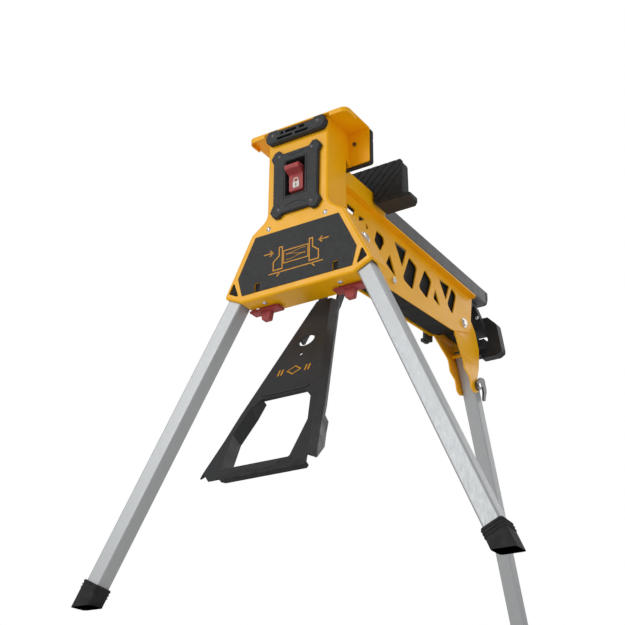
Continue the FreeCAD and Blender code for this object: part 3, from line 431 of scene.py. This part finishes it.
def boot_ridges():
    """Three grip ribs round the upper part of each rubber boot."""
    boot_half, boot_corner = 19.6, 6.0
    rib_width, rib_height = 2.2, 2.4
    first_rib, rib_spacing = 13.0, 6.0
    for side, run in LEG_RUNS.items():
        joint = JOINTS["leg_" + side + "_fold"]
        boot_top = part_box("leg_foot_" + side)[1][2]
        across = Vector(joint["axis"]).normalized()
        centreline = Vector(joint["pos_m"])
        if side == "rear":
            behind = Vector((0, -run.z, run.y)).normalized()
            centreline = centreline + behind * (REAR_OFFSET * MM)
        down = run.normalized()
        normal = down.cross(across).normalized()
        reach = (boot_top - centreline.z) / down.z
        ribs = []
        for index in range(3):
            centre = centreline + down * (reach + (first_rib + rib_spacing * index) * MM)
            ribs.append(ring_stroke(centre, across, normal, down, boot_half, boot_corner,
                                    rib_width, rib_height))
        new_piece("boot_ribs_" + side, *joined(ribs), "rubber", "leg_" + side, bevel=0.5)


def washer_profile(bore, outer, thickness, across, along):
    """Section of a washer whose outer corners are cut by across and along, all in mm."""
    rim = outer - across
    return [(bore, 0.0), (rim, 0.0), (outer, along), (outer, thickness - along), (rim, thickness),
            (bore, thickness)]


BOLT_WASHER = washer_profile(5.2, 11.8, 1.6, 0.6, 0.5)
LOCK_RING = washer_profile(6.05, 10.0, 1.8, 0.4, 0.4)


def frame_washers():
    """Washers round the heads of the frame's rear bolt."""
    head_height = 5.0 * MM
    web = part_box("frame_bolts")[1][0] - head_height
    verts = [vert.co for vert in frame["nodes"]["frame_bolts"].data.vertices]
    rear = [vert for vert in verts
            if vert.x > web + 0.9 * head_height and vert.y > FRONT_Y + 500 * MM]
    middle = sum(rear, Vector()) / len(rear)
    rings = [turned(Vector((sign * web, middle.y, middle.z)), (sign, 0, 0), BOLT_WASHER)
             for sign in (-1, 1)]
    new_piece("frame_washers", *joined(rings), "zinc_steel", "frame")


def leg_washers():
    """Washers round the heads of the front legs' hinge bolts."""
    rings = []
    for side, sign in (("right", 1), ("left", -1)):
        joint = JOINTS["leg_" + side + "_fold"]
        axis = Vector(joint["axis"]).normalized() * (1 if joint["axis"][0] * sign > 0 else -1)
        rings.append(turned(Vector(joint["pos_m"]) + axis * SKIRT_OUTSIDE * MM, axis, BOLT_WASHER))
    new_piece("leg_washers", *joined(rings), "zinc_steel", "frame")


def pivot_rings():
    """Lock rings on the ends of the pedal's pivot pin."""
    pivot = Vector(JOINTS["pedal_press"]["pos_m"])
    rings = [turned(pivot + Vector((sign * 30.1 * MM, 0, 0)), (sign, 0, 0), LOCK_RING)
             for sign in (-1, 1)]
    new_piece("pivot_rings", *joined(rings), "dark_steel", "frame", bevel=0.2)


def pivot_spring():
    """Return spring wound round the pedal's pivot, both ends hooked over the frame."""
    pivot = Vector(JOINTS["pedal_press"]["pos_m"])
    turns, steps, radius, wire = 8.25, 16, 8.6, 1.3
    coil_half, hook = 14.5, Vector((15, 36, 30))
    path = [pivot + Vector((-hook.x, hook.y, hook.z)) * MM]
    for step in range(int(turns * steps) + 1):
        angle = 2 * math.pi * step / steps
        x = -coil_half + 2 * coil_half * step / (turns * steps)
        path.append(pivot + Vector((x, radius * math.sin(angle), radius * math.cos(angle))) * MM)
    path.append(pivot + hook * MM)
    new_piece("pivot_spring", *tube_along(path, lambda t: wire), "zinc_steel", "frame", smooth=True)


def pedal_marks():
    """Plain bars and a diamond printed on the pedal, and the pressed ridge below them."""
    pivot = Vector(JOINTS["pedal_press"]["pos_m"])
    lean = math.radians(PEDAL_LEAN)
    up = Vector((0, math.sin(lean), math.cos(lean)))
    back = Vector((0, math.cos(lean), -math.sin(lean)))
    face = pivot + back * (PEDAL_FACE - 0.02) * MM

    def place(point):
        return face + Vector((point[0] * MM, 0, 0)) - up * (PEDAL_TOP + point[1]) * MM

    print_depth = back * -0.15 * MM
    bars = [stroke([(x, 197), (x, 213)], 3.2, place, print_depth) for x in (-32, -25, 25, 32)]
    bars.append(stroke([(-14, 205), (0, 194), (14, 205), (0, 216)], 2.4, place, print_depth, True))
    new_piece("pedal_print", *joined(bars), "black_paint", "pedal", AMBER_INK)
    ridge = stroke([(-50, 258), (-38, 262), (38, 262), (50, 258)], 4.0, place, back * -1.4 * MM)
    new_piece("pedal_ridge", *ridge, "black_paint", "pedal", bevel=1.2)


def weld_beads():
    """Beads where the leg brackets meet the frame and where the stop bar meets the fork."""
    plate = 3.0 * MM
    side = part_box("frame_side_right")
    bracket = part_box("leg_bracket_right")
    outer = side[0][0] + plate
    web_y = bracket[1][1] - 4.0 * MM
    parts = []
    for sign in (-1, 1):
        for y in (web_y, web_y + plate):
            low = Vector((sign * outer, y, bracket[0][2] + 58.0 * MM))
            parts.append(weld_bead(low, low + Vector((0, 0, 34.0 * MM))))
    new_piece("bracket_welds", *joined(parts), "yellow_paint", "frame", smooth=True)
    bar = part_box("leg_stop_bar")
    centre = (bar[0] + bar[1]) / 2
    radius = (bar[1][2] - bar[0][2]) / 2
    parts = []
    for sign in (-1, 1):
        spot = Vector((sign * (bar[1][0] - 1.0 * MM), centre.y, centre.z))
        loop = []
        for step in range(33):
            angle = 2 * math.pi * step / 32
            loop.append(spot + Vector((0, math.cos(angle), math.sin(angle))) * radius)
        parts.append(tube_along(loop, lambda t: 1.4 + 0.25 * math.cos(60 * t)))
    new_piece("stop_bar_welds", *joined(parts), "yellow_paint", "frame", smooth=True)


# ---------------------------------------------------------------- stage, lights and camera
def floor():
    """Pale floor. It lets light and sight through from below only."""
    mesh = bpy.data.meshes.new("floor")
    size = 9.0
    mesh.from_pydata([(-size, -size, 0), (size, -size, 0), (size, size, 0), (-size, size, 0)],
                     [], [(0, 1, 2, 3)])
    plane = bpy.data.objects.new("floor", mesh)
    bpy.context.scene.collection.objects.link(plane)
    material, shader = new_material("pale_floor", (0.86, 0.86, 0.85), 0.85)
    tree = material.node_tree
    clear = tree.nodes.new("ShaderNodeBsdfTransparent")
    choice = tree.nodes.new("ShaderNodeMixShader")
    side = tree.nodes.new("ShaderNodeNewGeometry")
    tree.links.new(side.outputs["Backfacing"], choice.inputs["Fac"])
    tree.links.new(shader.outputs["BSDF"], choice.inputs[1])
    tree.links.new(clear.outputs["BSDF"], choice.inputs[2])
    tree.links.new(choice.outputs["Shader"], tree.nodes["Material Output"].inputs["Surface"])
    mesh.materials.append(material)


def area_light(name, place, target, size, power):
    """Round white area light aimed at a point and hidden from the camera."""
    light = bpy.data.lights.new(name, "AREA")
    light.shape = "DISK"
    light.size = size
    light.energy = power
    lamp = bpy.data.objects.new(name, light)
    lamp.location = place
    lamp.rotation_euler = (Vector(target) - Vector(place)).to_track_quat("-Z", "Y").to_euler()
    bpy.context.scene.collection.objects.link(lamp)
    lamp.visible_camera = False


def studio():
    """White surround with a large key light from the front left and two soft fills."""
    world = bpy.data.worlds.new("studio")
    bpy.context.scene.world = world
    world.use_nodes = True
    tree = world.node_tree
    surround = tree.nodes["Background"]
    surround.inputs["Color"].default_value = (1.0, 1.0, 1.0, 1.0)
    surround.inputs["Strength"].default_value = 0.42
    backdrop = tree.nodes.new("ShaderNodeBackground")
    backdrop.inputs["Color"].default_value = (1.0, 1.0, 1.0, 1.0)
    backdrop.inputs["Strength"].default_value = 1.0
    seen = tree.nodes.new("ShaderNodeLightPath")
    choice = tree.nodes.new("ShaderNodeMixShader")
    tree.links.new(seen.outputs["Is Camera Ray"], choice.inputs["Fac"])
    tree.links.new(surround.outputs["Background"], choice.inputs[1])
    tree.links.new(backdrop.outputs["Background"], choice.inputs[2])
    tree.links.new(choice.outputs["Shader"], tree.nodes["World Output"].inputs["Surface"])
    aim = (0.0, -0.1, 0.55)
    area_light("key", (-1.4, -3.4, 2.0), aim, 1.8, 50.0)
    area_light("fill", (3.2, -1.2, 1.3), aim, 2.0, 12.0)
    area_light("top", (0.3, 0.4, 3.2), aim, 2.2, 22.0)
    area_light("rim", (0.6, 3.2, 1.8), aim, 1.6, 14.0)


VIEW_AZIMUTH = math.radians(32.774)      # right of straight ahead
VIEW_ELEVATION = math.radians(-25.279)   # below the horizon, looking up
VIEW_ROLL = math.radians(0.596)
VIEW_LENS = 69.25
VIEW_PLACE = (1.095, -1.642, -0.434)     # from the middle of the front face's foot line


def camera():
    """Camera at the viewing angle of the reference, with a level 36 mm sensor."""
    data = bpy.data.cameras.new("view")
    data.lens = VIEW_LENS
    data.sensor_width = 36.0
    data.clip_start = 0.05
    data.clip_end = 60.0
    eye = bpy.data.objects.new("view", data)
    back = Vector((math.sin(VIEW_AZIMUTH) * math.cos(VIEW_ELEVATION),
                   -math.cos(VIEW_AZIMUTH) * math.cos(VIEW_ELEVATION),
                   math.sin(VIEW_ELEVATION)))
    right = (-back).cross(Vector((0, 0, 1))).normalized()
    up = right.cross(-back)
    turned_right = right * math.cos(VIEW_ROLL) + up * math.sin(VIEW_ROLL)
    turned_up = up * math.cos(VIEW_ROLL) - right * math.sin(VIEW_ROLL)
    rotation = Matrix((turned_right, turned_up, back)).transposed().to_4x4()
    place = Vector(VIEW_PLACE) + Vector((0.0, FRONT_Y, 0.0))
    eye.matrix_world = Matrix.Translation(place) @ rotation
    bpy.context.scene.collection.objects.link(eye)
    bpy.context.scene.camera = eye


bpy.context.scene.view_settings.view_transform = "Standard"
camera()
floor()
studio()
dress_cad_nodes()
label_pictogram()
lever_padlock()
bezel_ridges()
frame_washers()
leg_washers()
pivot_rings()
pivot_spring()
pedal_marks()
weld_beads()
boot_ridges()
